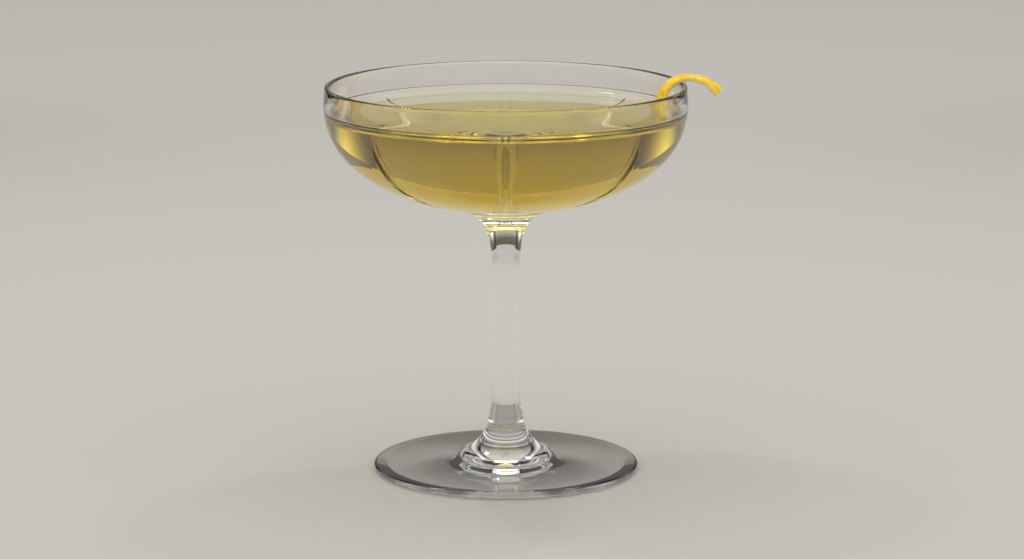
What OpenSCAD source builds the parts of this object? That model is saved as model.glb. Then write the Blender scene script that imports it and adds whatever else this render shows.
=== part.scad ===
// Martini in a wide stemmed glass, with a strip of lemon peel hung over the rim.
// Millimetres, +Z up. The origin is on the glass's axis, on the surface it stands on.

/* [Glass] */
// Height from the surface it stands on to the rim
total_h = 107.5; // [90:0.5:130]
// Widest diameter of the bowl
bowl_d = 100; // [84:1:120]
// Height of the bowl, from its outer base to its widest ring
bowl_h = 29.5; // [24:0.5:36]
// Fullness of the bowl's curve: 2 is an ellipse, more is squarer
bowl_fullness = 2.19; // [2:0.01:2.6]
// Height of the lip above the widest ring
lip_h = 4.8; // [3:0.1:6]
// How far the lip leans in from the widest ring
lip_lean = 0.4; // [0:0.1:1.2]
// Wall at the rim
rim_wall = 1.3; // [1:0.1:1.6]
// Wall at the widest ring
side_wall = 1.6; // [1.3:0.1:2.2]
// Glass under the middle of the drink
base_wall = 3.2; // [2.5:0.1:5]

/* [Leaf cuts] */
// Number of leaves cut round the bowl
leaf_count = 8; // [6:1:12]
// Depth of a leaf at its deepest
leaf_depth = 0.7; // [0.3:0.05:0.9]
// Radius of the rounded edge of the wheel that cuts the leaves
wheel_edge = 2.6; // [1.8:0.1:4]
// Upper tip of a leaf, below the widest ring
leaf_top = 3.4; // [2.5:0.1:8]
// Radius at which the leaves end, near the stem
leaf_end_r = 13.5; // [12.5:0.5:18]

/* [Stem and foot] */
// Diameter of the stem at its thinnest
stem_d = 7.7; // [6:0.1:10]
// Spread of the stem where it meets the bowl
neck_spread = 9; // [6:0.5:9.5]
// Length of the stem's upper flare
neck_h = 23; // [16:1:28]
// Spread of the stem where it meets the foot
heel_spread = 8.6; // [6:0.2:12]
// Length of the stem's lower flare
heel_h = 19.5; // [14:0.5:26]
// Swelling of the ring low on the stem
knuckle = 0.35; // [0:0.05:0.6]
// Height of that ring above the foot's hub
knuckle_h = 10.4; // [8:0.2:13]
// Diameter of the foot
foot_d = 73.6; // [60:0.2:90]
// Thickness of the foot at its edge
foot_edge = 1.85; // [1.4:0.05:2.6]
// Height of the foot's hub, where the stem's flare begins
foot_hub_h = 4.6; // [3.8:0.1:6]
// Inner diameter of the ring that the foot stands on
foot_ring_d = 66; // [48:0.5:68]
// Height of the hollow under the foot
foot_hollow = 1.6; // [0.8:0.1:2]

/* [Drink] */
// Level of the drink below the rim, away from the glass
drink_below_rim = 9; // [7.5:0.1:18]
// How far the drink climbs the glass
climb = 2.5; // [0.6:0.1:2.5]
// Capillary length of the drink, which sets how wide that climb is
capillary = 1.85; // [1.8:0.05:2.7]

/* [Lemon twist] */
// Width of the strip of peel
twist_w = 4; // [3:0.1:5]
// Thickness of the strip
twist_t = 1.8; // [1.5:0.05:2]
// Clearance between the strip's crown and the top of the rim
twist_seat = 0.5; // [0.45:0.05:0.8]
// Distance round to the back, from the widest point at the right, at which it crosses the rim
twist_back = 4.5; // [0:0.5:8]
// Reach of the arch outside the crown
arch_out = 9.5; // [8:0.1:11]
// Height of the arch outside the crown
arch_out_h = 8; // [7:0.1:10]
// Share of the outer quarter-arch that the strip covers, in degrees
arch_out_turn = 61; // [40:1:70]
// Reach of the arch inside the crown
arch_in = 7.3; // [6.5:0.1:9]
// Height of the arch inside the crown, above the stretch that hangs
arch_in_h = 6.4; // [5:0.1:7.5]
// Turn of the strip about its own line at its crown
crown_turn = 9; // [0:1:12]
// Turn at its outer end
outer_turn = 24; // [6:1:30]
// How far its outer end swings round to the front
outer_swing = 12; // [0:1:20]
// Turn where it begins to hang
hang_turn = 40; // [20:1:46]
// Turn at its lower end
low_turn = 38; // [20:1:46]
// Depth to which the lower end dips into the drink
twist_dip = 1.2; // [0.6:0.1:2]

/* [Hidden] */
$fn = 144;
BOWL_STEPS = 26;
FLARE_STEPS = 16;
LEAF_STEPS = 18;
SURFACE_STEPS = 12;
ARCH_STEPS = 10;

// Shares of a flare: its sharp power, its blunt power and how much of it is sharp
HEEL_FLARE = [5, 2, 0.75];
NECK_FLARE = [11, 3.2, 0.6];
NECK_CROWDING = 1.6;
NECK_FILLET = 0.6;
KNUCKLE_SPAN = 2;

// A leaf is widest below its middle and blunt at its tips
LEAF_SKEW = 1.35;
LEAF_BLUNTNESS = 0.8;
LEAF_LIFT = 0.12;
LEAF_SECTION = [60, 36, 12, -12, -36, -60];

// Soft edges of the strip of peel, across it and through it
EDGE_ACROSS = 0.55;
EDGE_THROUGH = 0.8;
// Where the strip's crown and its ends wander to
CROWN_OUT = 1.4;
OUTER_DRIFT = 1.5;
INNER_DRIFT = 2.5;
HANG_DRIFT = 2.5;
HANG_IN = 0.3;
HANG_OUT = 0.9;

bowl_r = bowl_d / 2;
stem_r = stem_d / 2;
foot_r = foot_d / 2;
ring_z = total_h - lip_h;
base_z = ring_z - bowl_h;
inner_base_z = base_z + base_wall;
level_z = total_h - drink_below_rim;
contact_z = level_z + climb;

// ---- The bowl's curves ----

// Radius of a bowl's wall at a height: a lip that leans in above the widest ring, and a full
// curve below it. ring_r is its radius at the widest ring, depth the height below that ring,
// and lean is how far the top of the lip leans in.
function wall_r(z, ring_r, depth, lean) =
    z >= ring_z
        ? ring_r - lean * pow((z - ring_z) / lip_h, 2)
        : ring_r * pow(1 - pow(min(1, (ring_z - z) / depth), bowl_fullness), 1 / bowl_fullness);

function outer_r(z) = wall_r(z, bowl_r, bowl_h, lip_lean);

function inner_r(z) =
    wall_r(z, bowl_r - side_wall, bowl_h - base_wall, lip_lean + rim_wall - side_wall);

// Height on the bowl's outside at a radius
function outer_z(r) = ring_z - bowl_h * pow(1 - pow(r / bowl_r, bowl_fullness), 1 / bowl_fullness);

// Heights from one end to the other, close together at the low end, where the curve is flat
function heights(low, high, steps) =
    [for (i = [0:steps]) low + (high - low) * (1 - cos(90 * i / steps))];

// ---- The glass ----

// A flare's spread at a share of its length: 1 at its wide end and 0 where the stem is plain
function flare(share, kind) =
    kind[2] * pow(1 - share, kind[0]) + (1 - kind[2]) * pow(1 - share, kind[1]);

function heel_r(z) =
    stem_r
    + heel_spread * flare((z - foot_hub_h) / heel_h, HEEL_FLARE)
    + knuckle * exp(-pow((z - foot_hub_h - knuckle_h) / KNUCKLE_SPAN, 2));

function neck_r(z) = stem_r + neck_spread * flare((base_z - z) / neck_h, NECK_FLARE);

// The foot, from the middle of its hollow out round its edge
foot_outline = concat(
    [for (i = [0:8]) [foot_ring_d / 2 * i / 8, foot_hollow * (1 - pow(i / 8, 2))]],
    [for (a = [-90:22.5:90])
        [foot_r + foot_edge / 2 * (cos(a) - 1), foot_edge / 2 * (1 + sin(a))]]
);

stem_outline = concat(
    [for (i = [0:FLARE_STEPS]) let (z = foot_hub_h + heel_h * i / FLARE_STEPS) [heel_r(z), z]],
    [for (i = [FLARE_STEPS:-1:0])
        let (z = base_z - neck_h * pow(i / FLARE_STEPS, NECK_CROWDING)) [neck_r(z), z]]
);

bowl_start_z = outer_z(stem_r + neck_spread + NECK_FILLET);

bowl_outline = concat(
    [for (z = heights(bowl_start_z, ring_z, BOWL_STEPS)) [outer_r(z), z]],
    [for (i = [1:3]) let (z = ring_z + (lip_h - rim_wall / 2) * i / 3) [outer_r(z), z]]
);

// The rim is rounded over, between the outer and the inner wall
rim_z = total_h - rim_wall / 2;
rim_mid_r = (outer_r(rim_z) + inner_r(rim_z)) / 2;
rim_half = (outer_r(rim_z) - inner_r(rim_z)) / 2;
rim_outline = [for (a = [30:30:150])
    [rim_mid_r + rim_half * cos(a), rim_z + rim_wall / 2 * sin(a)]];

// The inside, from the middle of its base up to the line that the drink reaches
wetted_outline = [for (z = heights(inner_base_z, contact_z, BOWL_STEPS))
    [z == inner_base_z ? 0 : inner_r(z), z]];

dry_outline = [for (i = [1:5]) let (z = contact_z + (rim_z - contact_z) * i / 5) [inner_r(z), z]];

function reversed(list) = [for (i = [len(list) - 1:-1:0]) list[i]];

module blown_glass() {
    rotate_extrude()
        polygon(concat(
            foot_outline, stem_outline, bowl_outline, rim_outline,
            reversed(dry_outline), reversed(wetted_outline)
        ));
}

// ---- The leaf cuts ----

// A solid swept through rings of points that all have the same number of points
module swept(rings) {
    n = len(rings[0]);
    last = len(rings) - 1;
    polyhedron(
        points = [for (ring = rings) for (p = ring) p],
        faces = concat(
            [[for (j = [0:n - 1]) j]],
            [for (i = [0:last - 1]) for (j = [0:n - 1])
                let (k = (j + 1) % n, a = i * n, b = a + n)
                each [[a + j, b + j, b + k], [a + j, b + k, a + k]]],
            [[for (j = [n - 1:-1:0]) last * n + j]]
        )
    );
}

leaf_low_z = outer_z(leaf_end_r);
leaf_high_z = ring_z - leaf_top;
// Outward normal of the bowl's outside, in the plane of the axis
function bowl_normal(r, z) =
    let (
        m = bowl_fullness - 1,
        g = [pow(r / bowl_r, m) / bowl_r, -pow(max(0, ring_z - z) / bowl_h, m) / bowl_h]
    )
    g / norm(g);

// Depth of the groove at a share of its length from the lower tip. Past both tips the tool
// has left the glass.
function leaf_depth_at(share) =
    -LEAF_LIFT
    + (leaf_depth + LEAF_LIFT) * pow(sin(180 * pow(share, LEAF_SKEW)), LEAF_BLUNTNESS);

// A section of the cutter: the rounded edge of a wheel, sunk to the groove's depth
function leaf_ring(share, z) =
    let (
        r = outer_r(z),
        out = bowl_normal(r, z),
        depth = leaf_depth_at(share)
    )
    [for (a = LEAF_SECTION)
        let (p = [r, z] + out * (wheel_edge * (1 - cos(a)) - depth))
        [p[0], wheel_edge * sin(a), p[1]]];

module leaf_cutter() {
    zs = heights(leaf_low_z, leaf_high_z, LEAF_STEPS);
    swept([for (i = [0:LEAF_STEPS]) leaf_ring(i / LEAF_STEPS, zs[i])]);
}

module glass() {
    color([0.87, 0.9, 0.92, 0.4])
        difference() {
            blown_glass();
            for (i = [0:leaf_count - 1])
                rotate(-90 + 360 * i / leaf_count)
                    leaf_cutter();
        }
}

// ---- The drink ----

// Distance from a wall at which a liquid that climbs it stands at a height above its level.
// It is the still curve of a liquid held up by its surface tension.
function climb_run(height) =
    let (c = 2 * capillary / height, s = sqrt(c * c - 1))
    capillary * (ln(c + s) - 2 * s / c);

// The surface, from the line on the glass in to the middle
contact_r = inner_r(contact_z);
surface_outline = [for (i = [1:SURFACE_STEPS])
    let (height = climb * pow(1 - i / (SURFACE_STEPS + 1), 2))
    [contact_r - climb_run(height) + climb_run(climb), level_z + height]];

module drink() {
    color([0.85, 0.74, 0.38])
        difference() {
            rotate_extrude()
                polygon(concat(wetted_outline, surface_outline, [[0, level_z]]));
            peel_strip();
        }
}

// ---- The lemon twist ----

crown_x = sqrt(pow(rim_mid_r, 2) - pow(twist_back, 2)) + CROWN_OUT;
crown_z = total_h + twist_seat + twist_t / 2;
hang_z = crown_z - arch_in_h;
low_end_z = level_z - twist_dip;

function between(start, end, share) = start + (end - start) * share;

// A point of the strip's middle line, its direction in X and Z, its turn about itself and its
// swing round to the front
function outside_at(a) = [
    [
        crown_x + arch_out * sin(a),
        twist_back - OUTER_DRIFT * sin(a),
        crown_z - arch_out_h * (1 - cos(a))
    ],
    [arch_out * cos(a), -arch_out_h * sin(a)],
    between(crown_turn, outer_turn, a / arch_out_turn),
    outer_swing * a / arch_out_turn
];

function inside_at(a) = [
    [
        crown_x - arch_in * sin(a),
        twist_back - INNER_DRIFT * (1 - cos(a)),
        hang_z + arch_in_h * cos(a)
    ],
    [arch_in * cos(a), arch_in_h * sin(a)],
    between(crown_turn, hang_turn, a / 90),
    0
];

function hanging_at(share) = [
    [
        crown_x - arch_in - HANG_IN * share + HANG_OUT * share * share,
        twist_back - INNER_DRIFT - HANG_DRIFT * share,
        between(hang_z, low_end_z, share)
    ],
    [HANG_IN - 2 * HANG_OUT * share, hang_z - low_end_z],
    between(hang_turn, low_turn, share),
    0
];

strip_line = concat(
    [for (i = [ARCH_STEPS:-1:1]) outside_at(arch_out_turn * i / ARCH_STEPS)],
    [for (i = [0:ARCH_STEPS]) inside_at(90 * i / ARCH_STEPS)],
    [for (i = [1:ARCH_STEPS - 2]) hanging_at(i / (ARCH_STEPS - 2))]
);

// The strip's section: nearly flat, with soft edges. The first number runs across the strip,
// and the second from the pith to the zest.
function soft(v, power) = sign(v) * pow(abs(v), power);

strip_section = [for (a = [0:30:330])
    [twist_w / 2 * soft(cos(a), EDGE_ACROSS), twist_t / 2 * soft(sin(a), EDGE_THROUGH)]];

function strip_ring(station) =
    let (
        p = station[0],
        along = station[1] / norm(station[1]),
        up = [-along[1], 0, along[0]],
        turn = station[2],
        swing = station[3],
        back = [sin(swing), cos(swing), 0],
        zest = up * cos(turn) - back * sin(turn),
        across = back * cos(turn) + up * sin(turn)
    )
    [for (s = strip_section) p + across * s[0] + zest * s[1]];

module peel_strip() {
    swept([for (station = strip_line) strip_ring(station)]);
}

module lemon_twist() {
    color([0.93, 0.77, 0.2])
        peel_strip();
}

glass();
drink();
lemon_twist();
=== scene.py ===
# %% [markdown]
# # A martini in a cut coupe glass
#
# The object is three pieces: a blown and cut glass, the drink in it, and a strip of lemon
# peel hung over the rim. All three are see-through or moist things whose looks come from
# their exact shape, so each is remodelled finely here round the frame that was packed. The
# glass and the drink are turned shapes, so they are spun from outlines, as on a lathe.

# %% Load the frame
import math

import bmesh
import bpy
from mathutils import Matrix, Vector, noise


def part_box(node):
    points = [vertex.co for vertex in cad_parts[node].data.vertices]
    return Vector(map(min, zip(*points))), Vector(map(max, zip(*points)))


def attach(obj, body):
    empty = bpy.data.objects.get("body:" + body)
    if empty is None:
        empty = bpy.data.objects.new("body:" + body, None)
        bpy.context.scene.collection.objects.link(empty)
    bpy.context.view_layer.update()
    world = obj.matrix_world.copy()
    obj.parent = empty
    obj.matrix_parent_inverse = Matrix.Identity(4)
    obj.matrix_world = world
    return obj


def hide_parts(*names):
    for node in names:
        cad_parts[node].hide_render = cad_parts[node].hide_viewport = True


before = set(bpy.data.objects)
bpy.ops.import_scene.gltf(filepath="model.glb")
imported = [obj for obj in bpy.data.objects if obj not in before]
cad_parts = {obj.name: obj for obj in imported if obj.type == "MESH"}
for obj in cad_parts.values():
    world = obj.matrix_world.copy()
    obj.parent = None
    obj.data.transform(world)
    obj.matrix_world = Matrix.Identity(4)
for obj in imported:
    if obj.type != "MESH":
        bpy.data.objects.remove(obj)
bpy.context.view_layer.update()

MM = 0.001
glass_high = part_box("glass")[1]
drink_low, drink_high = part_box("drink")

# %% [markdown]
# ## Sizes
#
# The overall sizes come from the frame. The shape between them is given by a few numbers:
# how full the bowl's curve is, how thick its walls are, and how the stem flares. They are
# the numbers that the real glass was blown and pressed to, so the same formulas give the
# same curves as in the frame, only with more points.

# %% Sizes of the glass
total_h = glass_high.z
bowl_r = glass_high.y
lip_h = 4.8 * MM
bowl_h = 29.5 * MM
ring_z = total_h - lip_h
base_z = ring_z - bowl_h
bowl_fullness = 2.19
lip_lean = 0.4 * MM
rim_wall = 1.3 * MM
side_wall = 1.6 * MM
inner_base_z = drink_low.z
contact_z = drink_high.z
climb = 2.5 * MM
level_z = contact_z - climb

stem_r = 3.85 * MM
neck_spread = 9 * MM
neck_h = 23 * MM
neck_fillet = 0.6 * MM
heel_spread = 8.6 * MM
heel_h = 19.5 * MM
knuckle = 0.35 * MM
knuckle_z = 15 * MM
knuckle_span = 2 * MM
foot_r = 36.8 * MM
foot_edge = 1.85 * MM
foot_hub_z = 4.6 * MM
foot_ring_r = 33 * MM
foot_hollow = 1.6 * MM
print(f"glass {total_h / MM:.1f} mm high, drink level at {level_z / MM:.1f} mm")


# %% [markdown]
# ## The bowl's curves
#
# A saucer bowl isn't part of a ball: it is fuller at the shoulder. A superellipse, an
# ellipse whose power is a little over 2, gives that with one number. The same function
# serves for the outside and the inside, with their own radius and depth.

# %% The bowl's wall as a function of height
def wall_r(z, ring_r, depth, lean):
    """Radius of a bowl's wall: a lip that leans in above the widest ring, a full curve below."""
    if z >= ring_z:
        return ring_r - lean * ((z - ring_z) / lip_h) ** 2
    share = min(1.0, (ring_z - z) / depth)
    return ring_r * (1 - share**bowl_fullness) ** (1 / bowl_fullness)


def outer_r(z):
    return wall_r(z, bowl_r, bowl_h, lip_lean)


def inner_r(z):
    return wall_r(z, bowl_r - side_wall, ring_z - inner_base_z, lip_lean + rim_wall - side_wall)


def outer_z(r):
    """Height on the bowl's outside at a radius."""
    return ring_z - bowl_h * (1 - (r / bowl_r) ** bowl_fullness) ** (1 / bowl_fullness)


def heights(low, high, steps):
    """Heights from one end to the other, close together at the low end, where the curve is flat."""
    return [low + (high - low) * (1 - math.cos(math.pi / 2 * i / steps)) for i in range(steps + 1)]


print(f"the bowl's mouth is {2 * inner_r(total_h) / MM:.1f} mm wide inside")


# %% [markdown]
# ## The stem and the foot
#
# A drawn stem has no straight steps: it thins fast as it leaves the bowl, then slowly. Two
# powers added together give that, one sharp and one blunt. The foot is a low cone with a
# rounded edge, hollowed underneath so that only a ring of it touches the table.

# %% The stem's and foot's outline
# How a flare falls off: a sharp power, a blunt power, and the sharp one's share.
HEEL_FLARE = (5, 2, 0.75)
NECK_FLARE = (11, 3.2, 0.6)


def flare(share, kind):
    """A flare's spread at a share of its length: 1 at its wide end and 0 where the stem is plain."""
    sharp, blunt, mix = kind
    return mix * (1 - share) ** sharp + (1 - mix) * (1 - share) ** blunt


def heel_r(z):
    ring = knuckle * math.exp(-(((z - knuckle_z) / knuckle_span) ** 2))
    return stem_r + heel_spread * flare((z - foot_hub_z) / heel_h, HEEL_FLARE) + ring


def neck_r(z):
    return stem_r + neck_spread * flare((base_z - z) / neck_h, NECK_FLARE)


HOLLOW_ROWS = 24
FOOT_ROWS = 16


def foot_outline():
    """From the middle of the hollow out round the edge and in to the hub."""
    shares = [i / HOLLOW_ROWS for i in range(HOLLOW_ROWS + 1)]
    hollow = [(foot_ring_r * share, foot_hollow * (1 - share**2)) for share in shares]
    edge = [
        (
            foot_r + foot_edge / 2 * (math.cos(math.radians(a)) - 1),
            foot_edge / 2 * (1 + math.sin(math.radians(a))),
        )
        for a in range(-90, 91, 15)
    ]
    brink = Vector(edge[-1])
    hub = Vector((heel_r(foot_hub_z), foot_hub_z))
    top = [tuple(brink + (hub - brink) * i / FOOT_ROWS) for i in range(1, FOOT_ROWS)]
    return hollow + edge + top


HEEL_ROWS, HEEL_CROWDING = 36, 1.3
NECK_ROWS, NECK_CROWDING = 32, 1.6


def stem_outline():
    """Up the heel and the neck, with the rows crowded where each flare is sharpest."""
    heel = [foot_hub_z + heel_h * (i / HEEL_ROWS) ** HEEL_CROWDING for i in range(HEEL_ROWS + 1)]
    neck = [base_z - neck_h * (i / NECK_ROWS) ** NECK_CROWDING for i in range(NECK_ROWS, -1, -1)]
    return [(heel_r(z), z) for z in heel] + [(neck_r(z), z) for z in neck]


# %% [markdown]
# ## One outline for the whole glass
#
# The glass is one piece, so it has one outline: out under the foot, in over it and up the
# stem, up the outside of the bowl, over the rim and down the inside to the middle. A rim is
# polished by fire, so it is half round from wall to wall.

# %% The whole outline of the glass
BOWL_ROWS = 64
LIP_ROWS = 5
bowl_start_z = outer_z(stem_r + neck_spread + neck_fillet)
rim_z = total_h - rim_wall / 2


def bowl_outline():
    """Up the outside, over the rounded rim and down the inside to the middle."""
    lip = [ring_z + (rim_z - ring_z) * i / LIP_ROWS for i in range(1, LIP_ROWS + 1)]
    outside = [(outer_r(z), z) for z in heights(bowl_start_z, ring_z, BOWL_ROWS) + lip]
    middle = (outer_r(rim_z) + inner_r(rim_z)) / 2
    half = (outer_r(rim_z) - inner_r(rim_z)) / 2
    rim = [
        (
            middle + half * math.cos(math.radians(a)),
            rim_z + rim_wall / 2 * math.sin(math.radians(a)),
        )
        for a in range(15, 166, 15)
    ]
    inside = [(inner_r(z), z) for z in heights(inner_base_z, ring_z, BOWL_ROWS)[1:] + lip]
    return outside + rim + inside[::-1] + [(0.0, inner_base_z)]


glass_outline = foot_outline() + stem_outline() + bowl_outline()
print(f"the glass's outline has {len(glass_outline)} points")


# %% [markdown]
# ## Spinning an outline
#
# A lathe turns an outline round an axis. In bmesh that is a chain of edges and one `spin`.
# A full turn is given `use_merge`, so that the last copy closes on the first, and the copies
# of a point on the axis are merged into one pole.

# %% The lathe
def spin_outline(outline, columns):
    """Spins an outline, given as pairs of radius and height, into a closed mesh."""
    mesh = bmesh.new()
    chain = [mesh.verts.new((r, 0, z)) for r, z in outline]
    edges = [mesh.edges.new(pair) for pair in zip(chain, chain[1:])]
    bmesh.ops.spin(
        mesh,
        geom=chain + edges,
        cent=(0, 0, 0),
        axis=(0, 0, 1),
        angle=2 * math.pi,
        steps=columns,
        use_merge=True,
    )
    bmesh.ops.remove_doubles(mesh, verts=mesh.verts, dist=0.002 * MM)
    bmesh.ops.recalc_face_normals(mesh, faces=mesh.faces)
    return mesh


def finished_piece(mesh, name):
    """Turns a bmesh into a smooth-shaded object at the origin."""
    data = bpy.data.meshes.new(name)
    for face in mesh.faces:
        face.smooth = True
    mesh.to_mesh(data)
    print(f"{name}: {len(mesh.faces)} faces, {mesh.calc_volume(signed=True) * 1e6:.1f} ml")
    mesh.free()
    piece = bpy.data.objects.new(name, data)
    bpy.context.scene.collection.objects.link(piece)
    return piece


def hand_in(piece, node, finish):
    """Gives a piece its finish, hangs it on the root, and hides the solid of the frame that it
    stands for.
    """
    piece.data.materials.append(finish)
    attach(piece, "root")
    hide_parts(node)


# %% [markdown]
# ## Cutting the leaves
#
# Eight long leaves are ground into the outside of the bowl by the rounded edge of a wheel.
# A boolean would leave long thin triangles beside each cut, which show as scratches in clear
# glass. So the columns of the spun mesh are slid round the bowl until some of them lie along
# the two edges of each leaf, and the columns between those are then sunk to the groove's
# rounded section. The two edges are marked sharp, as the wheel leaves them.

# %% The leaf cutter
LEAVES = 8
COLUMNS_PER_LEAF = 36
EDGE_COLUMN = 6 / (COLUMNS_PER_LEAF / 2)
leaf_depth = 0.7 * MM
leaf_lift = 0.12 * MM
wheel_edge = 2.6 * MM
leaf_low_r = 13.5 * MM
leaf_low_z = outer_z(leaf_low_r)
leaf_high_z = ring_z - 3.4 * MM
leaf_sector = 2 * math.pi / LEAVES
leaf_skew = 1.35
leaf_bluntness = 0.8
leaf_tip = 0.05 * MM
NEAR = 0.01 * MM


def leaf_share(z):
    """Share of a leaf's length at a height, in the same steps as the frame's cutter."""
    rise = (z - leaf_low_z) / (leaf_high_z - leaf_low_z)
    return math.acos(1 - min(max(rise, 0.0), 1.0)) / (math.pi / 2)


def leaf_half_width(share):
    """Half the width of the groove: the wheel's edge is sunk deepest a third of the way down."""
    bulk = max(0.0, math.sin(math.pi * share**leaf_skew)) ** leaf_bluntness
    depth = max(0.0, (leaf_depth + leaf_lift) * bulk - leaf_lift)
    return math.sqrt(wheel_edge**2 - (wheel_edge - depth) ** 2)


def bowl_normal(r, z):
    power = bowl_fullness - 1
    out = (r / bowl_r) ** power / bowl_r
    down = (max(0.0, ring_z - z) / bowl_h) ** power / bowl_h
    length = math.hypot(out, down)
    return out / length, -down / length


def cut_leaves(mesh):
    """Slides and sinks the columns of the bowl's outside, and marks the leaves' edges sharp."""
    edge_points = set()
    top_of_fan = ring_z + lip_h / 2
    plain = EDGE_COLUMN * leaf_sector / 2
    for point in mesh.verts:
        x, y, z = point.co
        r = math.hypot(x, y)
        if not bowl_start_z - NEAR < z < top_of_fan or abs(r - outer_r(z)) > NEAR:
            continue
        angle = math.atan2(y, x)
        leaf_angle = leaf_sector * round(angle / leaf_sector)
        column = (angle - leaf_angle) / (leaf_sector / 2)
        side = math.copysign(1, column)
        column = abs(column)

        share = leaf_share(z)
        width = max(leaf_half_width(share), leaf_tip)
        edge = width / r
        if z > leaf_high_z:
            edge += (plain - edge) * ((z - leaf_high_z) / (top_of_fan - leaf_high_z)) ** 1.5
        # Inside the leaf the columns are even. Beside it they start close and spread out.
        if column <= EDGE_COLUMN + 1e-6:
            turn = edge * column / EDGE_COLUMN
        else:
            beyond = (column - EDGE_COLUMN) / (1 - EDGE_COLUMN)
            spread = 0.6 * beyond**1.6 + 0.4 * beyond if edge < plain else beyond
            turn = edge + (leaf_sector / 2 - edge) * spread

        sink = 0.0
        across = min(turn / edge, 1.0) * width
        if 0 < share < 1 and turn < edge * (1 + 1e-6):
            sink = math.sqrt(wheel_edge**2 - across**2) - math.sqrt(wheel_edge**2 - width**2)
        if 0 < share < 1 and abs(column - EDGE_COLUMN) < 1e-4:
            edge_points.add(point)

        out, up = bowl_normal(r, z)
        r -= out * sink
        z -= up * sink
        angle = leaf_angle + side * turn
        point.co = (r * math.cos(angle), r * math.sin(angle), z)
    for edge in mesh.edges:
        if edge.verts[0] in edge_points and edge.verts[1] in edge_points:
            edge.smooth = False
    print(f"{len(edge_points)} points lie on the leaves' edges")


# %% [markdown]
# ## The glass
#
# The outline is spun with a whole number of columns to each leaf, and then cut. The flat ring
# that the foot stands on is ground, so its inner edge is marked sharp as well.

# %% Make the glass
glass_mesh = spin_outline(glass_outline, LEAVES * COLUMNS_PER_LEAF)
cut_leaves(glass_mesh)


def on_foot_ring(point):
    return abs(point.co.z) < NEAR and abs(math.hypot(point.co.x, point.co.y) - foot_ring_r) < NEAR


for edge in glass_mesh.edges:
    if all(on_foot_ring(point) for point in edge.verts):
        edge.smooth = False
glass = finished_piece(glass_mesh, "coupe_glass")


# %% [markdown]
# ## The drink
#
# A liquid wets the glass, so its surface climbs the wall and hollows towards the middle.
# The climb follows the still curve of a liquid held up by its surface tension, which has a
# closed formula. The piece reaches a little way into the wall of the glass: with the two
# surfaces crossed, no film of air shows between the drink and the glass.

# %% Make the drink
capillary = 1.85 * MM
REACH_INTO_WALL = 0.12 * MM
SURFACE_ROWS = 36
FLAT_ROWS = 12
DRINK_COLUMNS = 256


def climb_run(height):
    """Distance from a wall at which a liquid stands at a height above its level."""
    c = 2 * capillary / height
    s = math.sqrt(c * c - 1)
    return capillary * (math.log(c + s) - 2 * s / c)


def drink_outline():
    """Up the wetted wall to the line of contact, then in along the surface to the middle."""
    depth = contact_z - inner_base_z
    wetted = [
        (inner_r(z) + REACH_INTO_WALL, z - REACH_INTO_WALL * (contact_z - z) / depth)
        for z in heights(inner_base_z, contact_z, BOWL_ROWS)
    ]
    wetted[0] = (0.0, wetted[0][1])
    contact_r = inner_r(contact_z)
    surface = [(contact_r, contact_z)]
    for i in range(1, SURFACE_ROWS + 1):
        height = climb * (1 - i / (SURFACE_ROWS + 1)) ** 2
        surface.append((contact_r - climb_run(height) + climb_run(climb), level_z + height))
    flat_r = surface[-1][0]
    flat = [(flat_r * (1 - i / FLAT_ROWS), level_z) for i in range(1, FLAT_ROWS + 1)]
    return wetted + surface + flat


drink = finished_piece(spin_outline(drink_outline(), DRINK_COLUMNS), "martini")


# %% [markdown]
# ## The lemon twist
#
# A channel knife lifts a strip about 4 mm wide off a lemon, zest outside and white pith
# inside. Hung over a rim it keeps the curl that it had on the fruit. It is made as a
# confectioner would pull it: a small section is extruded along its path, a ring at a time,
# and each new ring is moved and turned to its place by a matrix.

# %% The strip's path
twist_w = 4 * MM
twist_t = 1.8 * MM
twist_seat = 0.5 * MM
twist_back = 4.5 * MM
arch_out, arch_out_h, arch_out_turn = 9.5 * MM, 8 * MM, 61
arch_in, arch_in_h = 7.3 * MM, 6.4 * MM
twist_dip = 1.2 * MM
# How far the strip has turned about its own run, in degrees: at its crown, at its outer end,
# where it starts to hang and at its lower end. Its outer end also swings round to the front.
crown_turn, outer_turn, hang_turn, low_turn = 9, 24, 40, 38
outer_swing = 12
# How far the strip strays to the front along each stretch, and sideways where it hangs.
outer_drift, inner_drift, hang_drift = 1.5 * MM, 2.5 * MM, 2.5 * MM
hang_in, hang_out = 0.3 * MM, 0.9 * MM
crown_out = 1.4 * MM
rim_mid_r = (outer_r(rim_z) + inner_r(rim_z)) / 2
crown_x = math.sqrt(rim_mid_r**2 - twist_back**2) + crown_out
crown_z = total_h + twist_seat + twist_t / 2
hang_z = crown_z - arch_in_h
low_end_z = level_z - twist_dip


def outside_at(degrees):
    """A point of the strip outside the crown, its direction in X and Z, its turn and its swing."""
    a = math.radians(degrees)
    share = degrees / arch_out_turn
    place = (
        crown_x + arch_out * math.sin(a),
        twist_back - outer_drift * math.sin(a),
        crown_z - arch_out_h * (1 - math.cos(a)),
    )
    direction = (arch_out * math.cos(a), -arch_out_h * math.sin(a))
    return place, direction, crown_turn + (outer_turn - crown_turn) * share, outer_swing * share


def inside_at(share):
    """The same for the arch from the crown down into the bowl."""
    a = math.pi / 2 * share
    place = (
        crown_x - arch_in * math.sin(a),
        twist_back - inner_drift * (1 - math.cos(a)),
        hang_z + arch_in_h * math.cos(a),
    )
    direction = (arch_in * math.cos(a), arch_in_h * math.sin(a))
    return place, direction, crown_turn + (hang_turn - crown_turn) * share, 0


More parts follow.
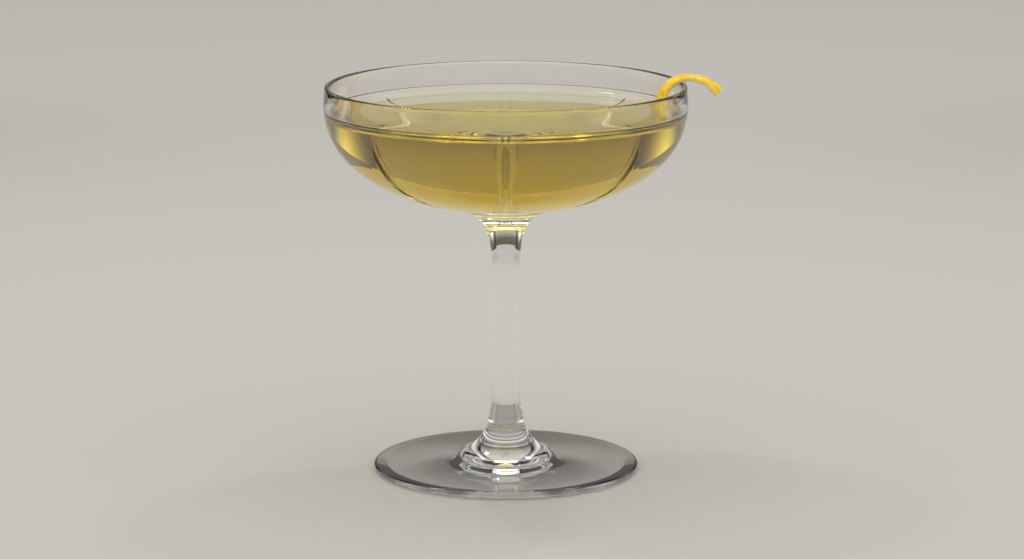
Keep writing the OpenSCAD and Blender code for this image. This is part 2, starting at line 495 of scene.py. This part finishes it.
def hanging_at(share):
    """The same for the stretch that hangs down into the drink."""
    place = (
        crown_x - arch_in - hang_in * share + hang_out * share**2,
        twist_back - inner_drift - hang_drift * share,
        hang_z + (low_end_z - hang_z) * share,
    )
    direction = (hang_in - 2 * hang_out * share, hang_z - low_end_z)
    return place, direction, hang_turn + (low_turn - hang_turn) * share, 0


ARCH_STEPS, HANG_STEPS = 60, 28


def strip_path():
    """Stations from the strip's outer end over its crown to its lower end."""
    outside = [outside_at(arch_out_turn * (1 - i / ARCH_STEPS)) for i in range(ARCH_STEPS)]
    inside = [inside_at(i / ARCH_STEPS) for i in range(ARCH_STEPS + 1)]
    hanging = [hanging_at(i / HANG_STEPS) for i in range(1, HANG_STEPS + 1)]
    return outside + inside + hanging


def ring_matrix(place, direction, degrees, swing):
    """Puts a section, drawn with X across the strip and Y from pith to zest, at its place."""
    along = Vector((direction[0], 0, direction[1])).normalized()
    up = Vector((-along.z, 0, along.x))
    back = Vector((math.sin(math.radians(swing)), math.cos(math.radians(swing)), 0))
    turn = math.radians(degrees)
    zest = up * math.cos(turn) - back * math.sin(turn)
    across = back * math.cos(turn) + up * math.sin(turn)
    matrix = Matrix((across, zest, across.cross(zest))).transposed().to_4x4()
    matrix.translation = Vector(place)
    return matrix


# %% [markdown]
# ## The strip's section and skin
#
# Across, a strip is nearly flat, with soft edges where the knife's groove ends, and a little
# hollow on its pith side. Lemon skin is pitted by oil glands about 0.6 mm apart, so these are
# sunk into the mesh. A number kept at each point says how much of it is pith, from 0 to 1.

# %% The strip's section and skin
SECTION_POINTS = 52
END_SOFTNESS, FACE_SOFTNESS = 0.55, 0.8
PITH_HOLLOW = 0.18 * MM
PITH_TOP = 0.12 * MM
PITH_BLEND = 0.5 * MM


def bulge(value, power):
    return math.copysign(abs(value) ** power, value)


def section_point(i):
    """A nearly flat section with soft edges, slightly hollow on the pith side."""
    a = 2 * math.pi * i / SECTION_POINTS
    across = twist_w / 2 * bulge(math.cos(a), END_SOFTNESS)
    thick = twist_t / 2 * bulge(math.sin(a), FACE_SOFTNESS)
    if thick < 0:
        thick += PITH_HOLLOW * (1 - (2 * across / twist_w) ** 2)
    return Vector((across, thick, 0))


def pull_strip():
    """Extrudes the section ring by ring along the path and closes both ends."""
    mesh = bmesh.new()
    pith = mesh.verts.layers.float.new("pith")
    path = strip_path()
    section = [section_point(i) for i in range(SECTION_POINTS)]
    ring = [mesh.verts.new(p) for p in section]
    edges = [mesh.edges.new((a, b)) for a, b in zip(ring, ring[1:] + ring[:1])]
    bmesh.ops.contextual_create(mesh, geom=edges)
    before = ring_matrix(*path[0])
    bmesh.ops.transform(mesh, matrix=before, verts=ring)
    places = {v: p for v, p in zip(ring, section)}
    for station in path[1:]:
        made = bmesh.ops.extrude_edge_only(mesh, edges=edges)["geom"]
        new_ring = [v for v in made if isinstance(v, bmesh.types.BMVert)]
        new_edges = [e for e in made if isinstance(e, bmesh.types.BMEdge)]
        edges = [e for e in new_edges if all(v in new_ring for v in e.verts)]
        now = ring_matrix(*station)
        home = before.inverted()
        for v in new_ring:
            places[v] = home @ v.co
        bmesh.ops.transform(mesh, matrix=now @ home, verts=new_ring)
        before = now
    bmesh.ops.contextual_create(mesh, geom=edges)
    bmesh.ops.recalc_face_normals(mesh, faces=mesh.faces)
    for v, p in places.items():
        v[pith] = min(1.0, max(0.0, 0.5 - (p.y - PITH_TOP) / PITH_BLEND))
    return mesh


PORE_PITCH = 0.62 * MM
PORE_REACH = 0.33
PORE_DEPTH = 0.075 * MM
FIBRE_PITCH, FIBRE_HEIGHT = 0.7 * MM, 0.07 * MM
WAVE_PITCH, WAVE_HEIGHT = 2.6 * MM, 0.06 * MM


def roughen_strip(mesh):
    """Sinks pores into the zest, and makes the pith uneven."""
    pith = mesh.verts.layers.float["pith"]
    mesh.normal_update()
    moves = []
    for v in mesh.verts:
        cell = noise.voronoi(v.co / PORE_PITCH)[0][0]
        pore = -PORE_DEPTH * max(0.0, 1 - cell / PORE_REACH) ** 1.5
        fibre = FIBRE_HEIGHT * noise.noise(v.co / FIBRE_PITCH)
        wave = WAVE_HEIGHT * (noise.noise(v.co / WAVE_PITCH) - 1)
        moves.append(v.normal * (pore * (1 - v[pith]) + fibre * v[pith] + wave))
    for v, move in zip(mesh.verts, moves):
        v.co += move


strip_mesh = pull_strip()
roughen_strip(strip_mesh)
twist = finished_piece(strip_mesh, "lemon_peel_strip")


# %% [markdown]
# ## Writing finishes as sums
#
# A finish is a small graph of nodes. Wrapped in a class that knows `+`, `-` and `*`, a
# node's output can be written in ordinary sums, and every sum adds its own Math node.

# %% A wrapper for shader values
class Value:
    """A number, colour or vector that varies over a surface."""

    def __init__(self, finish, socket):
        self.finish = finish
        self.socket = socket

    def sum_with(self, operation, a, b):
        return self.finish.node("Math", settings={"operation": operation}, inputs={0: a, 1: b})

    def __add__(self, other):
        return self.sum_with("ADD", self, other)

    def __sub__(self, other):
        return self.sum_with("SUBTRACT", self, other)

    def __rsub__(self, other):
        return self.sum_with("SUBTRACT", other, self)

    def __mul__(self, other):
        return self.sum_with("MULTIPLY", self, other)

    __radd__ = __add__
    __rmul__ = __mul__


class Finish:
    """A material being made."""

    def __init__(self, name):
        self.material = bpy.data.materials.new(name)
        self.material.use_nodes = True
        self.nodes = self.material.node_tree.nodes
        self.nodes.clear()
        self.output = self.nodes.new("ShaderNodeOutputMaterial")

    def node(self, kind, settings=None, inputs=None, output=0):
        """Adds one node: its settings first, then the values or links of its sockets."""
        node = self.nodes.new("ShaderNode" + kind)
        for name, value in (settings or {}).items():
            if name == "stops":
                elements = node.color_ramp.elements
                while len(elements) < len(value):
                    elements.new(1.0)
                for i, (position, colour) in enumerate(value):
                    elements[i].position = position
                    elements[i].color = colour
            else:
                setattr(node, name, value)
        for name, value in (inputs or {}).items():
            self.link(value, node.inputs[name])
        return Value(self, node.outputs[output])

    def link(self, value, socket):
        if isinstance(value, Value):
            self.material.node_tree.links.new(value.socket, socket)
        else:
            socket.default_value = value

    def mixed(self, mask, first, second):
        """The first colour where the mask is 0, the second where it is 1."""
        return self.node(
            "Mix", settings={"data_type": "RGBA"}, inputs={0: mask, 6: first, 7: second}, output=2
        )

    def place(self):
        return self.node("TexCoord", output="Object")

    def surface(self, shader):
        self.link(shader, self.output.inputs["Surface"])


# %% [markdown]
# ## Clear glass
#
# Soda-lime glass bends light by 1.52 and takes almost no colour from it. Blown glass is
# never quite true: a very faint waviness in the surface breaks its highlights up a little.

# %% The glass finish
def clear_glass():
    finish = Finish("clear_glass")
    waviness = finish.node(
        "TexNoise", inputs={"Vector": finish.place(), "Scale": 55.0, "Detail": 1.0}
    )
    bump = finish.node(
        "Bump", inputs={"Strength": 0.06, "Distance": 0.0006, "Height": waviness}
    )
    finish.surface(
        finish.node(
            "BsdfPrincipled",
            inputs={
                "Base Color": (1, 1, 1, 1),
                "Roughness": 0.0,
                "IOR": 1.52,
                "Transmission Weight": 1.0,
                "Normal": bump,
            },
        )
    )
    return finish.material


hand_in(glass, "glass", clear_glass())

# %% [markdown]
# ## Pale gold drink
#
# The colour of a clear drink is in its depth, not on its surface: a thin edge is nearly
# white, and a long way through the bowl is deep straw gold. An absorbing volume does that by
# itself. Its loss for each metre is density times one minus colour, in red, green and blue.

# %% The drink's finish
loss_per_metre = (1.5, 5.6, 42.0)
DENSITY = 46.0


def pale_gold_drink():
    finish = Finish("pale_gold_drink")
    swirl = finish.node("TexNoise", inputs={"Vector": finish.place(), "Scale": 30.0, "Detail": 2.0})
    bump = finish.node("Bump", inputs={"Strength": 0.03, "Distance": 0.0004, "Height": swirl})
    finish.surface(
        finish.node(
            "BsdfPrincipled",
            inputs={
                "Base Color": (1, 1, 1, 1),
                "Roughness": 0.0,
                "IOR": 1.36,
                "Transmission Weight": 1.0,
                "Normal": bump,
            },
        )
    )
    colour = [1 - loss / DENSITY for loss in loss_per_metre] + [1.0]
    volume = finish.node("VolumeAbsorption", inputs={"Color": colour, "Density": DENSITY})
    finish.link(volume, finish.output.inputs["Volume"])
    return finish.material


hand_in(drink, "drink", pale_gold_drink())

# %% [markdown]
# ## Lemon peel
#
# Zest is a waxy, saturated yellow with pores that go a little deeper in colour. The pith
# under it is a dull cream. Both let some light in, so they get subsurface scattering.

# %% The peel's finish
def lemon_peel():
    finish = Finish("lemon_peel")
    pith = finish.node("Attribute", settings={"attribute_name": "pith"}, output="Fac")
    cloud = finish.node("TexNoise", inputs={"Vector": finish.place(), "Scale": 700.0, "Detail": 3.0})
    mottle = finish.node("MapRange", inputs={"Value": cloud, "From Min": 0.36, "From Max": 0.64})
    pores = finish.node("TexVoronoi", inputs={"Vector": finish.place(), "Scale": 1 / PORE_PITCH})
    oil_glands = finish.node(
        "MapRange", inputs={"Value": pores, "From Max": 0.45, "To Min": 0.6, "To Max": 0.0}
    )
    skin = finish.mixed(mottle, (0.84, 0.49, 0.004, 1), (1.0, 0.73, 0.03, 1))
    zest = finish.mixed(oil_glands, skin, (0.68, 0.36, 0.002, 1))
    cream = finish.mixed(mottle, (0.94, 0.78, 0.38, 1), (1.0, 0.91, 0.60, 1))
    colour = finish.mixed(pith, zest, cream)
    relief = cloud * 0.6 - pores * 0.4
    bump = finish.node("Bump", inputs={"Strength": 0.25, "Distance": 0.0002, "Height": relief})
    finish.surface(
        finish.node(
            "BsdfPrincipled",
            inputs={
                "Base Color": colour,
                "Roughness": 0.34 + pith * 0.3,
                "IOR": 1.42,
                "Subsurface Weight": 0.25,
                "Subsurface Radius": (1.0, 0.6, 0.15),
                "Subsurface Scale": 0.0012,
                "Normal": bump,
            },
        )
    )
    return finish.material


hand_in(twist, "lemon_twist", lemon_peel())

# %% [markdown]
# ## The studio
#
# Clear glass has no looks of its own: it shows the room. So it stands on a plain pale floor
# in a room without hard edges. The floor is one large matt card, a hair below the foot so
# that the two faces don't flicker through each other.

# %% The floor
FLOOR_GAP = 0.2 * MM


def plain_card(name, width, depth, matrix):
    """A flat card of the studio, which is no part of the object."""
    mesh = bmesh.new()
    mesh.loops.layers.uv.new("UVMap")
    bmesh.ops.create_grid(mesh, x_segments=1, y_segments=1, size=0.5, calc_uvs=True)
    bmesh.ops.scale(mesh, vec=(width, depth, 1), verts=mesh.verts)
    bmesh.ops.transform(mesh, matrix=matrix, verts=mesh.verts)
    card = finished_piece(mesh, name)
    return card


def plain_paint(name, colour, roughness):
    finish = Finish(name)
    finish.surface(
        finish.node("BsdfPrincipled", inputs={"Base Color": colour, "Roughness": roughness})
    )
    return finish.material


FLOOR_SIZE = 12
floor = plain_card("floor", FLOOR_SIZE, FLOOR_SIZE, Matrix.Translation((0, 3, -FLOOR_GAP)))
floor.data.materials.append(plain_paint("pale_floor", (0.53, 0.515, 0.485, 1), 0.6))

# %% [markdown]
# ## The lights
#
# A broad soft light overhead draws the rim and gives the glass its soft shadow. Two small
# lights high up add the glints that make cut glass sparkle.

# %% The lamps
aim = Vector((0, 0, 0.06))


def softbox(name, place, width, height, power):
    """A lamp with a soft square face, turned to the glass. Its power is in watts."""
    light = bpy.data.lights.new(name, "AREA")
    light.shape = "RECTANGLE"
    light.size = width
    light.size_y = height
    light.energy = power
    lamp = bpy.data.objects.new(name, light)
    lamp.location = place
    lamp.rotation_euler = (aim - Vector(place)).to_track_quat("-Z", "Y").to_euler()
    bpy.context.scene.collection.objects.link(lamp)


GLINT_SIZE, GLINT_POWER = 0.09, 0.7
softbox("overhead", (0, 0.1, 0.9), width=0.5, height=0.35, power=0.9)
softbox("left_glint", (-0.38, 0.30, 0.80), GLINT_SIZE, GLINT_SIZE, GLINT_POWER)
softbox("right_glint", (0.30, 0.42, 0.80), GLINT_SIZE, GLINT_SIZE, GLINT_POWER)

# %% [markdown]
# Behind the glass at each side stands a card that glows. Seen through the bowl the two cross
# over, and each lights the far side of the drink and the leaf there. They glow most in their
# middle and fade to nothing at their edges, because an even card would show as a hard patch.
# The cards light the glass without being seen themselves, so they hide nothing from behind.

# %% The glowing cards
GLOW_WIDTH, GLOW_HEIGHT = 0.36, 0.56
GLOW_STRENGTH = 2.6


def glow_card(name, place):
    """A card behind the glass, facing it, that fades from its middle to its edges."""
    turn = (aim - Vector(place)).to_track_quat("Z", "Y").to_matrix().to_4x4()
    turn.translation = Vector(place)
    card = plain_card(name, GLOW_WIDTH, GLOW_HEIGHT, turn)
    finish = Finish(name)
    centred = finish.node(
        "Mapping",
        inputs={
            "Vector": finish.node("TexCoord", output="UV"),
            "Location": (-1, -1, 0),
            "Scale": (2, 2, 1),
        },
    )
    glow = finish.node(
        "TexGradient", settings={"gradient_type": "QUADRATIC_SPHERE"}, inputs={"Vector": centred}
    )
    colour = finish.mixed(glow, (0, 0, 0, 1), (1, 0.98, 0.94, 1))
    finish.surface(
        finish.node(
            "BsdfPrincipled",
            inputs={
                "Base Color": (0, 0, 0, 1),
                "IOR": 1.0,
                "Emission Color": colour,
                "Emission Strength": GLOW_STRENGTH,
            },
        )
    )
    card.data.materials.append(finish.material)
    card.visible_camera = False
    card.visible_shadow = False


for name, side in (("left_glow", -1), ("right_glow", 1)):
    glow_card(name, (side * 0.42, 0.50, 0.30))


# %% [markdown]
# The rest of the room is a smooth sky: dark and a little warm at the horizon, so that the
# glass keeps dark lines at its edges, and brighter overhead and towards the front, as in a
# room with a window behind the onlooker.

# %% The room's light
class RoomLight(Finish):
    """The same wrapper for the world's nodes."""

    def __init__(self, name):
        self.material = bpy.data.worlds.new(name)
        self.material.use_nodes = True
        self.nodes = self.material.node_tree.nodes
        self.nodes.clear()
        self.output = self.nodes.new("ShaderNodeOutputWorld")


room = RoomLight("room")
direction = room.node("TexCoord", output="Generated")
backwards = room.node("SeparateXYZ", inputs={0: direction}, output="Y")
upwards = room.node("SeparateXYZ", inputs={0: direction}, output="Z")
sky_stops = [
    (0.06, (0.11, 0.103, 0.085, 1)),
    (0.26, (0.60, 0.575, 0.52, 1)),
    (0.5, (0.74, 0.73, 0.71, 1)),
    (1.0, (1.0, 0.99, 0.97, 1)),
]
sky = room.node("ValToRGB", settings={"stops": sky_stops}, inputs={0: upwards})
room.surface(room.node("Background", inputs={"Color": sky, "Strength": 1.1 - 0.5 * backwards}))
bpy.context.scene.world = room.material

# %% [markdown]
# ## The camera
#
# The glass is seen from a little above the rim, from about a metre away through a long lens,
# so its ellipses are shallow and nearly alike.

# %% Set the camera
LENS_MM, SENSOR_MM = 125.8, 36
CAMERA_PLACE = (1.7 * MM, -0.971, 0.2467)
LOOKS_DOWN_BY = 11.27

camera_data = bpy.data.cameras.new("camera")
camera_data.lens = LENS_MM
camera_data.sensor_width = SENSOR_MM
camera = bpy.data.objects.new("camera", camera_data)
camera.location = CAMERA_PLACE
camera.rotation_euler = (math.radians(90 - LOOKS_DOWN_BY), 0, 0)
scene = bpy.context.scene
scene.collection.objects.link(camera)
scene.camera = camera
scene.view_settings.view_transform = "Standard"
scene.cycles.max_bounces = 24
scene.cycles.transmission_bounces = 24
scene.cycles.glossy_bounces = 8
